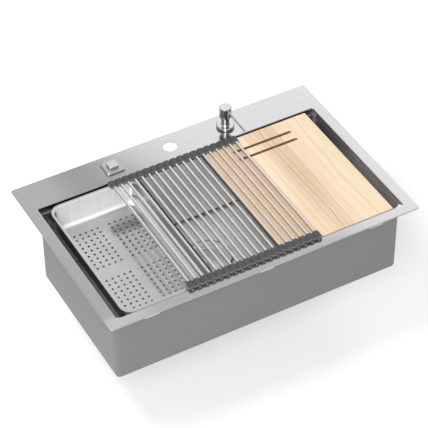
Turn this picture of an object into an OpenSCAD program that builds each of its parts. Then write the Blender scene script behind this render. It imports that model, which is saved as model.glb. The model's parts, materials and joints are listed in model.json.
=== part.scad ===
// Drop-in workstation kitchen sink with colander, cutting board, roll-up rack,
// drain control and soap dispenser.
// Origin: centre of the rim's outline, on the worktop that the rim lies on.
// +X to the right, +Y to the back, +Z up. Millimetres.

/* [Rim and deck] */
// Overall width, left to right
sink_w = 800; // [760:1:860]
// Overall depth, front to back
sink_d = 520; // [510:1:560]
// Rim width at the left and right, out to the bowl's wall
rim_side = 28; // [24:0.5:36]
// Rim width at the front
rim_front = 27; // [26:0.5:36]
// Depth of the deck behind the opening
deck_back = 89; // [84:0.5:100]
// Height of the rim's top face above the worktop
rim_h = 2.5; // [2.2:0.1:4]
// Outer corner radius of the rim
rim_corner_r = 5; // [3:0.5:12]
// Radius of the rim's outer edge
rim_edge_r = 0.8; // [0.4:0.1:1]
// Thickness of the steel sheet
sheet = 1.2; // [1:0.1:1.5]
// Outside radius of the bends at the opening and at the steps
bend_r = 2; // [1.6:0.1:3]
// Width of the foam seal under the rim
seal_w = 10; // [6:0.5:12]

/* [Bowl] */
// Depth of the floor's edge below the rim's top face
bowl_depth = 209; // [190:1:240]
// Depth of the steps below the rim's top face
ledge_drop = 14; // [12:0.5:20]
// Width of the front step
ledge_front = 13; // [8:0.5:20]
// Width of the back step
ledge_back = 9; // [6:0.5:16]
// Corner radius of the opening
opening_corner_r = 3; // [3:0.5:8]
// Radius of the bowl's upright and bottom edges
bowl_corner_r = 10; // [8:1:20]
// Fall of the floor from its edge to the drain
floor_fall = 3; // [2:0.5:6]
// Distance from the bowl's back wall to the drain's axis
drain_inset = 135; // [110:1:180]

/* [Mounting clips] */
// Length of each bracket
bracket_l = 36; // [24:1:50]
// Distance of the outer brackets from the sink's middle
bracket_x = 292; // [260:1:310]
// Distance of the inner back brackets from the sink's middle
bracket_inner_x = 88; // [80:1:95]
// Distance from the rim's edge to a bracket's leg
bracket_inset = 14; // [13:0.5:14.5]
// Height of a bracket's leg
bracket_drop = 20; // [18:0.5:24]
// Diameter of the clamping screws
clip_screw_d = 4; // [3:0.5:5]

/* [Tap and accessory holes] */
// Distance from the deck's back edge to the line of holes
hole_line = 44.5; // [40:0.5:48]
// Diameter of the tap hole
tap_hole_d = 35; // [33:0.5:38]
// Diameter of the holes for the control and the dispenser
fitting_hole_d = 28; // [27.5:0.5:30]

/* [Drain] */
// Diameter of the hole in the bowl's floor
drain_hole_d = 90; // [88:0.5:92]
// Outer diameter of the drain's flange
flange_d = 117; // [112:1:122]
// Thickness of the drain's flange
flange_t = 2; // [1.5:0.1:3]
// Outer diameter of the strainer cup
cup_d = 84; // [80:0.5:86]
// Depth of the strainer cup
cup_depth = 56; // [50:1:70]
// Wall of the strainer cup
cup_wall = 2; // [1.5:0.1:2.5]
// Outer diameter of the threaded outlet
outlet_d = 47.8; // [45:0.1:50]
// Length of the threaded outlet
outlet_l = 26; // [22:1:34]
// Outer diameter of the tailpiece
tail_d = 40; // [38:0.5:41]
// Length of the tailpiece
tail_l = 90; // [70:1:140]
// Wall of the tailpiece
tail_wall = 1.8; // [1.2:0.1:2.5]
// Thickness of the rubber washer under the floor
drain_washer_t = 3; // [2:0.5:4]
// Height of the locknut
locknut_h = 12; // [8:0.5:16]
// Lift of the strainer basket
basket_lift = 10; // [8:0.5:10]
// Height of the strainer basket
basket_h = 48; // [36:1:50]
// Diameter of the lift pin
lift_pin_d = 6; // [5:0.5:7]

/* [Drain control] */
// Distance of the control to the left of the tap hole
control_x = 155; // [140:1:180]
// Side of the square plate
plate_w = 46; // [42:1:50]
// Height of the square plate
plate_h = 6; // [4:0.5:8]
// Side of the square knob
knob_w = 24; // [20:1:28]
// Height of the knob above its plate
knob_h = 6; // [4:0.5:10]
// Diameter of the knob's spindle
spindle_d = 8; // [6:0.5:10]
// Length of the threaded shanks below the deck
shank_l = 34; // [28:1:40]
// Outer diameter of the threaded shanks
shank_d = 26; // [24:0.5:27]

/* [Soap dispenser] */
// Distance of the dispenser to the right of the tap hole
dispenser_x = 152; // [140:1:180]
// Diameter of the base ring
base_d = 44; // [40:1:50]
// Height of the base ring
base_h = 8; // [6:0.5:10]
// Diameter of the neck
neck_d = 20; // [18:0.5:22]
// Diameter of the pump head
head_d = 30; // [27:0.5:36]
// Height of the pump head
head_h = 29; // [24:1:36]
// Height of the pump head's lower rim above the deck
head_rise = 33; // [28:1:40]
// Reach of the spout from the pump's axis
spout_reach = 89; // [70:1:110]
// Diameter of the spout
spout_d = 5.5; // [5:0.1:8]
// Depth of the spout's axis below the head's top
spout_drop = 6; // [5:0.5:8]
// Travel of the pump
pump_travel = 12; // [8:0.5:14]
// Diameter of the pump's stem
stem_d = 8; // [7:0.5:9]
// Inner diameter of the pump cylinder
pump_bore = 14; // [13:0.5:16]
// Diameter of the bottle
bottle_d = 68; // [56:1:76]
// Height of the bottle's body
bottle_h = 110; // [80:1:140]
// Wall of the bottle
bottle_wall = 2; // [1.2:0.1:3]

/* [Colander] */
// Width of the colander, along the sink
colander_w = 234; // [200:1:250]
// Play between the colander and the opening at each end
colander_play = 3; // [1:0.5:6]
// Distance from the opening's left end to the colander
colander_gap = 21; // [2:1:40]
// Depth from the flange to the floor
colander_depth = 65; // [50:1:120]
// Height of the turned-down flange
flange_h = 9; // [6:0.5:11]
// Width of the flange at the colander's left and right
flange_w = 6.5; // [5:0.5:12]
// Clearance between the colander's walls and the bowl's, below the steps
pan_clear = 0.8; // [0.5:0.1:3]
// Radius of the flange's edges
flange_edge_r = 1.6; // [1:0.1:2]
// Outer corner radius of the flange
colander_corner_r = 30; // [24:1:40]
// Inward slope of the walls, over their height
colander_taper = 5; // [2:0.5:8]
// Radius between the walls and the floor
colander_bottom_r = 14; // [8:1:16]
// Diameter of the holes
hole_d = 6; // [4:0.5:8]
// Pitch of the holes
hole_pitch = 15.2; // [12:0.1:16]
// Distance from the outermost holes' middles to the floor's bend, at least
field_margin = 14; // [8:1:30]

/* [Cutting board] */
// Width of the board, along the sink
board_w = 293; // [250:1:300]
// Play between the board and the opening, front and back together
board_play = 7; // [3:0.5:8]
// Thickness of the board
board_t = 15; // [12:0.5:20]
// Distance from the opening's right end to the board
board_gap = 26; // [2:1:40]
// Bevel of the board's edges
board_bevel = 1.5; // [1:0.5:2.5]
// Corner radius of the board, seen from above
board_corner_r = 3; // [2:0.5:10]
// Length of the slots
slot_l = 161; // [100:1:200]
// Width of the slots
slot_w = 8; // [5:0.5:10]
// Distance from the board's back edge to the first slot
slot_inset = 45; // [30:1:60]
// Distance between the slots
slot_pitch = 30; // [20:1:50]

/* [Drying rack] */
// Rods in the rack
rod_count = 19; // [12:1:21]
// Pitch of the rods
rod_pitch = 18.2; // [16:0.1:19]
// Diameter of the rods
rod_d = 7; // [5:0.5:8]
// Wall of the rods, which are tubes
rod_wall = 0.8; // [0.5:0.1:1.5]
// Distance of the rack's middle to the left of the sink's middle
rack_x = 21.5; // [-20:0.5:40]
// Length of each silicone grip along its rod
grip_l = 20; // [14:0.5:24]
// Height of the grips
grip_h = 8.5; // [8:0.5:12]
// Width of the grooves between the grips, at their bottom
grip_gap = 1.8; // [1.2:0.1:3]
// Depth of the grooves between the grips
groove_depth = 3; // [1.5:0.5:4]
// Length of the feet beyond the grips
foot_l = 5; // [4:0.5:9]
// Width of the feet
foot_w = 5; // [4:0.5:7]
// Overlap of the feet on the front rim
foot_seat = 8; // [4:0.5:10]
// Distance from the back grips' outer faces to the opening's back edge
rack_gap = 5.5; // [3:0.5:20]

/* [Hidden] */
$fn = 48;
eps = 0.01;
// Gap between a resting piece and its seat, and radial clearance of running fits
rest_gap = 0.3;
run_gap = 0.05;
// Clearance between mating threads, which are plain here
thread_gap = 0.1;

steel = [0.74, 0.75, 0.76];
chrome = [0.85, 0.86, 0.88];
bracket_steel = [0.66, 0.67, 0.68];
rubber_black = [0.13, 0.13, 0.14];
silicone_grey = [0.28, 0.29, 0.30];
plastic_white = [0.88, 0.88, 0.86];
wood = [0.93, 0.80, 0.64];

opening_w = sink_w - 2 * rim_side;
opening_d = sink_d - rim_front - deck_back;
opening_y = (rim_front - deck_back) / 2;
opening_front = opening_y - opening_d / 2;
opening_back = opening_y + opening_d / 2;
collar_h = bend_r + sheet;
deck_under_z = rim_h - sheet;
ledge_z = rim_h - ledge_drop;
floor_z = rim_h - bowl_depth;
bowl_d = opening_d - ledge_front - ledge_back;
bowl_y = opening_y + (ledge_front - ledge_back) / 2;

bracket_depth = rim_front - sheet - bracket_inset - rest_gap;
clip_y = bracket_inset + sheet + (bracket_depth - sheet) / 2;
hook_rise = 4;
hook_z = deck_under_z - bracket_drop + hook_rise;
hook_t = 3;
hook_l = bracket_l * 0.6;
clip_head_h = 3;

drain_y = bowl_y + bowl_d / 2 - drain_inset;
drain_z = floor_z - floor_fall;
drain_seat_rim = 6;
drain_seat_w = flange_d + 2 * drain_seat_rim;
flange_seal_t = 1.5;
friction_ring_t = 1.5;
washer_inset = 2;
washer_d = flange_d - 2 * washer_inset;
cup_floor_z = drain_z - cup_depth;
// Height at which the lift pin's cable enters the cup
cable_z = drain_z - cup_depth * 0.7;
outlet_r = outlet_d / 2;
outlet_wall = 5;
outlet_bore_r = outlet_r - outlet_wall;
outlet_z = cup_floor_z - cup_wall - outlet_l;
hub_d = lift_pin_d + 6;
hub_h = 8;
hub_rib = 3;
seal_disc_r = outlet_bore_r + 5;
seal_disc_t = 4;
basket_r = cup_d / 2 - cup_wall - 2;
basket_wall = 1;
basket_z = cup_floor_z + rest_gap + seal_disc_t;
basket_knob_drop = 5;
tail_washer_t = 2;
tail_flange_t = 2;
tail_flange_d = outlet_d - 2;
slip_nut_h = 22;
slip_nut_wall = 5;
// The nut reaches up over the outlet's thread by this share of its height
slip_nut_grip = 0.6;
slip_nut_z = outlet_z - (1 - slip_nut_grip) * slip_nut_h;
// The tailpiece swells a little where the nut centres it
tail_neck_t = 0.4;
tail_neck_drop = 3.2;
tail_neck_taper = 1;
tail_neck_z = slip_nut_z - tail_neck_drop;

hole_y = sink_d / 2 - hole_line;
nut_h = 8;
nut_d = 42;
deck_washer_t = 2;
shank_z = deck_under_z - shank_l;
housing_d = nut_d - 4;
housing_h = 14;
crank_d = 24;
crank_t = 5;
gland_d = 9;
gland_bore = 5;
gland_l = 12;

head_z = rim_h + head_rise;
neck_overlap = 4;
neck_top = head_z + neck_overlap;
stem_top = head_z + head_h - spout_drop - 1;
pump_drop = 26;
pump_z = shank_z - pump_drop;
pump_wall = 1.5;
piston_t = 6;
piston_drop = 14;
piston_z = deck_under_z - piston_drop;
spring_wire = 1.4;
spring_turns = 6;
dip_d = 7;
bottle_neck_h = 14;
bottle_shoulder = 12;
bottle_edge = 4;
bottle_drop = 6;
bottle_z = shank_z - bottle_h;

colander_l = opening_d - 2 * colander_play;
colander_x = opening_w / 2 - colander_gap - colander_w / 2;
colander_top = ledge_z + rest_gap + flange_h;
colander_sheet = 1;
colander_floor_z = colander_top - colander_depth;
pan_w = colander_w - 2 * flange_w;
pan_l = bowl_d - 2 * (pan_clear + colander_sheet);
pan_y = bowl_y - opening_y;
pan_r = colander_corner_r - flange_w;
floor_plate_w = pan_w - 2 * colander_taper - 2 * colander_bottom_r;
floor_plate_l = pan_l - 2 * colander_taper - 2 * colander_bottom_r;
floor_plate_r = pan_r - colander_bottom_r / 2;
// The fields are two pitches apart sideways and three lengthways, hole to hole
field_columns = floor((floor_plate_w / 2 - field_margin) / hole_pitch);
field_rows = floor((floor_plate_l / 2 - field_margin) / hole_pitch - 0.5);

board_l = opening_d - board_play;
board_x = opening_w / 2 - board_gap - board_w / 2;
board_front_gap = 0.5;
board_y = opening_front + board_front_gap + board_l / 2;
board_z = ledge_z + rest_gap;
board_top = board_z + board_t;

rack_z = board_top + rest_gap;
rod_z = rack_z + grip_h / 2;
// Silicone over the rods' ends
rod_inset = 2;
grip_w = rod_pitch - grip_gap;
grip_slope = 3;
grip_chamfer = 2;
grip_bevel = 0.8;
rack_front = opening_front - foot_seat + foot_l;
rack_back = opening_back - rack_gap;
rack_l = rack_back - rack_front;
foot_h = 4;
foot_root = 0.5;
foot_drop = rack_z - rim_h - rest_gap;
// Rods at the left end that roll up, one hinged link each
rolled_rods = 4;
// The webs end short of the grips' inner ends
web_inset = 1;
// Slit that lets a link's web turn clear of the next grip
link_gap = 0.5;

// A rectangle with true round corners.
module rounded_rect(w, d, r) {
    square([w - 2 * r, d], center = true);
    square([w, d - 2 * r], center = true);
    for (x = [-1, 1], y = [-1, 1])
        translate([x * (w / 2 - r), y * (d / 2 - r)]) circle(r);
}

// What a round edge of radius r loses: the wall stands at x = 0, its top at y = 0.
module corner_cut(r) {
    difference() {
        translate([-r / 2, -r]) square([r * 1.5, r * 1.5]);
        translate([r, -r]) circle(r);
    }
}

// Rounds the upper edge of a w by d outline with corner radius rc. The metal lies
// outside the outline, as round an opening, or inside it, as on a plate.
module edge_cut(w, d, rc, r, metal_inside = false) {
    flip = [metal_inside ? 1 : 0, 0];
    for (i = [0:3])
        rotate(90 * i) {
            across = i % 2 == 0 ? w : d;
            along = i % 2 == 0 ? d : w;
            translate([across / 2, 0, 0]) rotate([90, 0, 0])
                linear_extrude(along - 2 * rc, center = true) mirror(flip) corner_cut(r);
            translate([across / 2 - rc, along / 2 - rc, 0])
                rotate_extrude(angle = 90) translate([rc, 0]) mirror(flip) corner_cut(r);
        }
}

// A tube or washer that stands on z.
module ring(z, outer_d, inner_d, h) {
    translate([0, 0, z]) difference() {
        cylinder(d = outer_d, h = h);
        translate([0, 0, -1]) cylinder(d = inner_d, h = h + 2);
    }
}

module at_control() translate([-control_x, hole_y, 0]) children();
module at_dispenser() translate([dispenser_x, hole_y, 0]) children();
module at_drain() translate([0, drain_y, 0]) children();

// ---- Sink shell ----

module deck_rim() {
    color(steel) difference() {
        union() {
            translate([0, 0, deck_under_z]) linear_extrude(sheet)
                rounded_rect(sink_w, sink_d, rim_corner_r);
            linear_extrude(rim_h) difference() {
                rounded_rect(sink_w, sink_d, rim_corner_r);
                rounded_rect(sink_w - 2 * sheet, sink_d - 2 * sheet, rim_corner_r - sheet);
            }
            translate([0, opening_y, rim_h - collar_h]) linear_extrude(collar_h)
                rounded_rect(opening_w + 2 * sheet, opening_d + 2 * sheet, opening_corner_r + sheet);
        }
        translate([0, opening_y, -collar_h]) linear_extrude(rim_h + 2 * collar_h)
            rounded_rect(opening_w, opening_d, opening_corner_r);
        translate([0, opening_y, rim_h]) edge_cut(opening_w, opening_d, opening_corner_r, bend_r);
        translate([0, 0, rim_h]) edge_cut(sink_w, sink_d, rim_corner_r, rim_edge_r, true);
        translate([0, hole_y, -1]) cylinder(d = tap_hole_d, h = rim_h + 2);
        at_control() translate([0, 0, -1]) cylinder(d = fitting_hole_d, h = rim_h + 2);
        at_dispenser() translate([0, 0, -1]) cylinder(d = fitting_hole_d, h = rim_h + 2);
    }
}

// The bowl's inner form, grown by g, up to the height top.
module bowl_form(g, top) {
    translate([0, opening_y, ledge_z - g]) linear_extrude(top - ledge_z + g)
        rounded_rect(opening_w + 2 * g, opening_d + 2 * g, opening_corner_r + g);
    translate([0, bowl_y, 0]) {
        hull()
            for (x = [-1, 1], y = [-1, 1])
                translate([x * (opening_w / 2 - bowl_corner_r), y * (bowl_d / 2 - bowl_corner_r), 0]) {
                    translate([0, 0, floor_z + bowl_corner_r]) sphere(bowl_corner_r + g, $fn = 32);
                    translate([0, 0, ledge_z - 1]) cylinder(r = bowl_corner_r + g, h = 1, $fn = 32);
                }
        // The floor falls on four planes, creased from its corners to the drain
        hull() {
            translate([0, 0, floor_z - g])
                linear_extrude(1) square([opening_w, bowl_d] - [1, 1] * 2 * bowl_corner_r, center = true);
            translate([0, drain_y - bowl_y, floor_z - floor_fall - g])
                linear_extrude(1) square(drain_seat_w, center = true);
        }
        for (side = [-1, 1])
            translate([0, side * (bowl_d / 2 + g), ledge_z - g]) rotate([90, 0, side * 90])
                linear_extrude(opening_w - 2 * bowl_corner_r, center = true) corner_cut(bend_r - g);
    }
}

module bowl() {
    color(steel) difference() {
        bowl_form(sheet, rim_h - collar_h);
        bowl_form(0, rim_h);
        at_drain() translate([0, 0, drain_z - 5]) cylinder(d = drain_hole_d, h = 10);
    }
}

module rim_seal() {
    outer_inset = sheet + rest_gap;
    inner_inset = outer_inset + seal_w;
    color(rubber_black) linear_extrude(deck_under_z) difference() {
        rounded_rect(sink_w - 2 * outer_inset, sink_d - 2 * outer_inset, rim_corner_r - outer_inset);
        rounded_rect(sink_w - 2 * inner_inset, sink_d - 2 * inner_inset, opening_corner_r);
    }
}

// ---- Mounting clips ----

// Places a clip drawn with the rim's edge at y = 0 and the bowl towards +Y.
module at_clips() {
    for (x = [-bracket_x, 0, bracket_x])
        translate([x, -sink_d / 2, 0]) children();
    for (x = [-bracket_x, -bracket_inner_x, bracket_inner_x, bracket_x])
        translate([x, sink_d / 2, 0]) rotate(180) children();
}

module clip_brackets() {
    color(bracket_steel) at_clips() difference() {
        translate([-bracket_l / 2, bracket_inset, 0]) {
            translate([0, 0, deck_under_z - sheet]) cube([bracket_l, bracket_depth, sheet]);
            translate([0, 0, deck_under_z - bracket_drop]) cube([bracket_l, sheet, bracket_drop]);
        }
        translate([0, clip_y, deck_under_z - 2 * sheet])
            cylinder(d = clip_screw_d + 2 * thread_gap, h = 3 * sheet);
    }
}

module clip_hooks() {
    hook_w = bracket_depth - sheet - 2 * rest_gap;
    color(bracket_steel) at_clips() translate([0, clip_y, hook_z]) difference() {
        union() {
            cylinder(d = hook_w, h = hook_t);
            translate([0, -hook_w / 2, 0]) cube([hook_l, hook_w, hook_t]);
            translate([hook_l - hook_t, -hook_w / 2, 0]) cube([hook_t, hook_w, 2 * hook_t]);
        }
        translate([0, 0, -1]) cylinder(d = clip_screw_d + 2 * thread_gap, h = hook_t + 2);
    }
}

module clip_screws() {
    color(chrome) at_clips() translate([0, clip_y, hook_z - clip_head_h]) {
        difference() {
            cylinder(d = clip_screw_d * 1.7, h = clip_head_h);
            translate([0, 0, -1]) cylinder(d = clip_screw_d * 0.9, h = 1 + clip_head_h / 2, $fn = 6);
        }
        cylinder(d = clip_screw_d, h = deck_under_z - hook_z + clip_head_h - rest_gap);
    }
}

// ---- Drain ----

module drain_flange_seal() {
    color(rubber_black) at_drain() ring(drain_z, washer_d, drain_hole_d, flange_seal_t);
}

module drain_body() {
    top = drain_z + flange_seal_t;
    cup_r = cup_d / 2;
    flange_r = flange_d / 2;
    bore_r = cup_r - cup_wall;
    color(steel) at_drain() difference() {
        union() {
            rotate_extrude() polygon([
                [outlet_bore_r, outlet_z], [outlet_r, outlet_z], [outlet_r, cup_floor_z - cup_wall],
                [cup_r, cup_floor_z - cup_wall], [cup_r, top], [flange_r, top],
                [flange_r - flange_t / 2, top + flange_t], [cup_r, top + flange_t],
                [bore_r, top - flange_t], [bore_r, cup_floor_z], [outlet_bore_r, cup_floor_z]
            ]);
            // Spider that guides the lift pin
            translate([0, 0, cup_floor_z - hub_h - cup_wall]) {
                cylinder(d = hub_d, h = hub_h);
                for (a = [90, 210, 330]) rotate(a)
                    translate([0, -hub_rib / 2, 0]) cube([outlet_bore_r + 1, hub_rib, hub_h]);
            }
        }
        translate([0, 0, cup_floor_z - hub_h - cup_wall - 1])
            cylinder(d = lift_pin_d + 2 * run_gap, h = hub_h + 2);
        translate([-bore_r, 0, cable_z]) rotate([0, -90, 0])
            translate([0, 0, -cup_wall]) cylinder(d = gland_bore, h = 3 * cup_wall);
    }
}

module drain_washer() {
    color(rubber_black) at_drain()
        ring(drain_z - sheet - drain_washer_t, washer_d, cup_d + 2 * thread_gap, drain_washer_t);
}

module drain_friction_ring() {
    color(plastic_white) at_drain()
        ring(drain_z - sheet - drain_washer_t - friction_ring_t, washer_d,
            cup_d + 2 * thread_gap, friction_ring_t);
}

module drain_locknut() {
    lugs = 6;
    lug_w = 10;
    lug_reach = 4;
    z = drain_z - sheet - drain_washer_t - friction_ring_t - locknut_h;
    rim_d = washer_d - 8;
    color(steel) at_drain() difference() {
        translate([0, 0, z]) {
            cylinder(d = rim_d, h = locknut_h);
            for (i = [0:lugs - 1]) rotate(i * 360 / lugs)
                translate([0, -lug_w / 2, 0]) cube([rim_d / 2 + lug_reach, lug_w, locknut_h * 0.7]);
        }
        translate([0, 0, z - 1]) cylinder(d = cup_d + 2 * thread_gap, h = locknut_h + 2);
    }
}

module tail_washer() {
    color(rubber_black) at_drain()
        ring(outlet_z - tail_washer_t, tail_flange_d, 2 * outlet_bore_r, tail_washer_t);
}

module tailpiece() {
    z = outlet_z - tail_washer_t;
    tube_r = tail_d / 2;
    color(chrome) at_drain() rotate_extrude() polygon([
        [tube_r - tail_wall, z - tail_l], [tube_r, z - tail_l], [tube_r, tail_neck_z],
        [tube_r + tail_neck_t, tail_neck_z + tail_neck_taper], [tube_r + tail_neck_t, z - tail_flange_t],
        [tail_flange_d / 2, z - tail_flange_t], [tail_flange_d / 2, z], [tube_r - tail_wall, z]
    ]);
}

module slip_nut() {
    ribs = 12;
    seat = outlet_z - tail_washer_t - tail_flange_t;
    color(chrome) at_drain() difference() {
        translate([0, 0, slip_nut_z]) {
            cylinder(d = outlet_d + 2 * slip_nut_wall, h = slip_nut_h);
            for (i = [0:ribs - 1]) rotate(i * 360 / ribs)
                translate([outlet_r + slip_nut_wall - 1, -2, 1]) cube([3, 4, slip_nut_h - 2]);
        }
        translate([0, 0, seat]) cylinder(r = outlet_r + thread_gap, h = slip_nut_h);
        translate([0, 0, slip_nut_z - 1])
            cylinder(r = tail_d / 2 + tail_neck_t + thread_gap, h = slip_nut_h);
    }
}

module strainer_basket() {
    holes = 12;
    drain_slot_d = 4;
    lip = 1.5;
    wall = basket_wall;
    r = basket_r;
    foot_r = r - 4;
    shoulder = basket_z + 6;
    top = basket_z + basket_h;
    color(steel) at_drain() difference() {
        rotate_extrude() polygon([
            [0, basket_z], [foot_r, basket_z], [r, shoulder], [r, top - wall], [r + lip, top - wall],
            [r + lip, top], [r - wall, top], [r - wall, shoulder + wall / 2],
            [foot_r - wall / 2, basket_z + wall], [0, basket_z + wall]
        ]);
        translate([0, 0, basket_z - 1]) {
            for (i = [0:holes - 1], ring_r = [r * 0.45, r * 0.72])
                rotate(i * 360 / holes + ring_r) translate([ring_r, 0, 0])
                    cylinder(d = drain_slot_d, h = wall + 2);
            cylinder(d = lift_pin_d + 2 * thread_gap, h = wall + 2);
        }
    }
}

module basket_seal() {
    color(rubber_black) at_drain()
        ring(basket_z - seal_disc_t, 2 * seal_disc_r, lift_pin_d + 2 * thread_gap, seal_disc_t);
}

module basket_knob() {
    z = basket_z + basket_wall;
    foot_r = 7;
    stem_r = 4;
    grip_r = 10;
    grip_t = 5;
    top = z + basket_h - basket_knob_drop;
    color(steel) at_drain() rotate_extrude() polygon([
        [0, z], [foot_r, z], [stem_r, z + stem_r], [stem_r, top - grip_t - stem_r],
        [grip_r, top - grip_t], [grip_r, top - grip_t / 2], [grip_r - grip_t / 2, top], [0, top]
    ]);
}

// Rises with the basket; the control's cable pulls it up.
module lift_pin() {
    crank_end = 4;
    tip = cup_floor_z - cup_wall - hub_h - basket_lift - crank_end;
    color(steel) at_drain() translate([0, 0, tip])
        cylinder(d = lift_pin_d, h = basket_z + basket_wall - tip);
}

// ---- Drain control ----

// A square block with round corners that narrows by taper on each side.
module bevelled_block(w, h, r, taper) {
    hull()
        for (x = [-1, 1], y = [-1, 1])
            translate([x * (w / 2 - r), y * (w / 2 - r), 0]) {
                cylinder(r = r, h = h - taper, $fn = 32);
                translate([-x * taper, -y * taper, h - eps]) cylinder(r = r, h = eps, $fn = 32);
            }
}

module control_plate() {
    color(steel) at_control() translate([0, 0, rim_h]) difference() {
        bevelled_block(plate_w, plate_h, 3, plate_h / 2);
        translate([0, 0, -1]) cylinder(d = spindle_d + 2 * run_gap, h = plate_h + 2);
    }
}

module control_knob() {
    color(chrome) at_control() translate([0, 0, rim_h + plate_h + rest_gap]) difference() {
        bevelled_block(knob_w, knob_h, 2, 1);
        translate([0, 0, -1]) cylinder(d = spindle_d + 2 * thread_gap, h = knob_h - 1);
    }
}

module control_spindle() {
    top = rim_h + plate_h + rest_gap + knob_h - 2;
    bottom = shank_z - rest_gap - crank_t;
    color(bracket_steel) at_control() {
        translate([0, 0, bottom]) cylinder(d = spindle_d, h = top - bottom);
        // Crank disc that winds the cable in
        translate([0, 0, bottom]) cylinder(d = crank_d, h = crank_t);
    }
}

module shank(bore) {
    ring(shank_z, shank_d, bore, rim_h - shank_z);
}

module control_sleeve() {
    color(plastic_white) at_control() shank(spindle_d + 2 * run_gap);
}

module deck_washer() {
    ring(deck_under_z - deck_washer_t, nut_d, shank_d + 2 * thread_gap, deck_washer_t);
}

module deck_nut() {
    z = deck_under_z - deck_washer_t - nut_h;
    wings = 2;
    difference() {
        translate([0, 0, z]) {
            cylinder(d = nut_d - 4, h = nut_h);
            for (i = [0:wings - 1]) rotate(i * 360 / wings)
                translate([nut_d / 2 - 4, -3, 0]) cube([8, 6, nut_h - 2]);
        }
        translate([0, 0, z - 1]) cylinder(d = shank_d + 2 * thread_gap, h = nut_h + 2);
    }
}

module control_washer() color(rubber_black) at_control() deck_washer();
module control_nut() color(plastic_white) at_control() deck_nut();

// Cup under the sleeve, around the crank disc.
module control_housing() {
    wall = 2;
    color(rubber_black) at_control() difference() {
        translate([0, 0, shank_z - housing_h]) cylinder(d = housing_d, h = housing_h + 6);
        translate([0, 0, shank_z - housing_h + wall])
            cylinder(d = crank_d + 4, h = housing_h - wall + eps);
        translate([0, 0, shank_z]) cylinder(d = shank_d + 2 * thread_gap, h = 7);
        rotate([0, 90, -60]) translate([-(shank_z - housing_h / 2), 0, 0])
            cylinder(d = gland_bore, h = housing_d);
    }
}

// The two nipples where the control's cable enters; the cable itself isn't part of this.
module cable_glands() {
    color(rubber_black) {
        at_control() rotate([0, 90, -60])
            translate([-(shank_z - housing_h / 2), 0, housing_d / 2]) gland();
        at_drain() translate([-cup_d / 2, 0, cable_z]) rotate([0, -90, 0]) gland();
    }
}

module gland() {
    difference() {
        translate([0, 0, 0.1]) union() {
            cylinder(d = gland_d + 4, h = 2);
            cylinder(d1 = gland_d, d2 = gland_d - 2, h = gland_l);
        }
        translate([0, 0, -1]) cylinder(d = gland_bore, h = gland_l + 2);
    }
}

// ---- Soap dispenser ----

module dispenser_base() {
    bore = stem_d + 2 * run_gap;
    base_r = base_d / 2;
    neck_r = neck_d / 2;
    color(chrome) at_dispenser() rotate_extrude() polygon([
        [bore / 2, deck_under_z], [shank_d / 2, deck_under_z], [shank_d / 2, rim_h], [base_r - 1, rim_h],
        [base_r, rim_h + 2], [base_r, rim_h + base_h - 2], [base_r - 2, rim_h + base_h],
        [neck_r + 1.5, rim_h + base_h], [neck_r, rim_h + base_h + 2], [neck_r, neck_top],
        [bore / 2, neck_top]
    ]);
}

module dispenser_shank() {
    color(plastic_white) at_dispenser()
        ring(shank_z, shank_d, pump_bore + 2 * pump_wall + 2 * thread_gap, deck_under_z - shank_z);
}

module dispenser_washer() color(rubber_black) at_dispenser() deck_washer();
module dispenser_nut() color(plastic_white) at_dispenser() deck_nut();

module pump_cylinder() {
    color(plastic_white) at_dispenser() difference() {
        translate([0, 0, pump_z]) cylinder(d = pump_bore + 2 * pump_wall, h = deck_under_z - pump_z);
        translate([0, 0, pump_z + pump_wall]) cylinder(d = pump_bore, h = deck_under_z - pump_z);
        translate([0, 0, pump_z - 1]) cylinder(d = dip_d - 2, h = 2 * pump_wall + 2);
    }
}

module pump_plunger() {
    color(plastic_white) at_dispenser() {
        translate([0, 0, piston_z]) cylinder(d = pump_bore - 2 * run_gap, h = piston_t);
        translate([0, 0, piston_z]) cylinder(d = stem_d, h = stem_top - piston_z);
    }
}

module pump_spring() {
    low = pump_z + pump_wall;
    high = piston_z;
    outer = pump_bore / 2 - 0.6;
    inner = outer - spring_wire;
    // The turned arc spans as much of a turn as makes the wire as high as it is wide
    arc = 360 * spring_turns * spring_wire / (high - low);
    steps = 4;
    color(steel) at_dispenser() translate([0, 0, low])
        linear_extrude(high - low, twist = -360 * spring_turns, slices = 12 * spring_turns, segments = 1)
            polygon(concat(
                [for (i = [0:steps]) outer * [cos(i / steps * arc), sin(i / steps * arc)]],
                [for (i = [steps:-1:0]) inner * [cos(i / steps * arc), sin(i / steps * arc)]]
            ));
}

module dip_tube() {
    bottom = bottle_z + 8;
    color(plastic_white) at_dispenser() ring(bottom, dip_d, dip_d - 2, pump_z - bottom);
}

module pump_head() {
    top = head_z + head_h;
    cavity_r = neck_d / 2 + 1;
    cavity_h = neck_overlap + pump_travel + 1;
    head_r = head_d / 2;
    spout_z = top - spout_drop;
    tip_l = 6;
    tip_angle = 60;
    color(chrome) at_dispenser() difference() {
        union() {
            rotate_extrude() polygon([
                [0, head_z], [head_r - 0.8, head_z], [head_r, head_z + 0.8],
                [head_r, top - 1.5], [head_r - 1.5, top], [0, top]
            ]);
            translate([0, 0, spout_z]) rotate([90, 0, 0]) cylinder(d = spout_d, h = spout_reach);
            translate([0, -spout_reach, spout_z]) sphere(d = spout_d);
            translate([0, -spout_reach, spout_z]) rotate([90 + tip_angle, 0, 0])
                cylinder(d = spout_d, h = tip_l);
        }
        translate([0, 0, head_z - 1]) cylinder(r = cavity_r, h = cavity_h + 1);
        translate([0, 0, head_z]) cylinder(d = stem_d + 2 * run_gap, h = stem_top + rest_gap - head_z);
        translate([0, -head_r, spout_z]) rotate([90, 0, 0])
            cylinder(d = spout_d - 2, h = spout_reach - head_r);
        translate([0, -spout_reach, spout_z]) rotate([90 + tip_angle, 0, 0])
            cylinder(d = spout_d - 2, h = tip_l + 1);
    }
}

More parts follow.
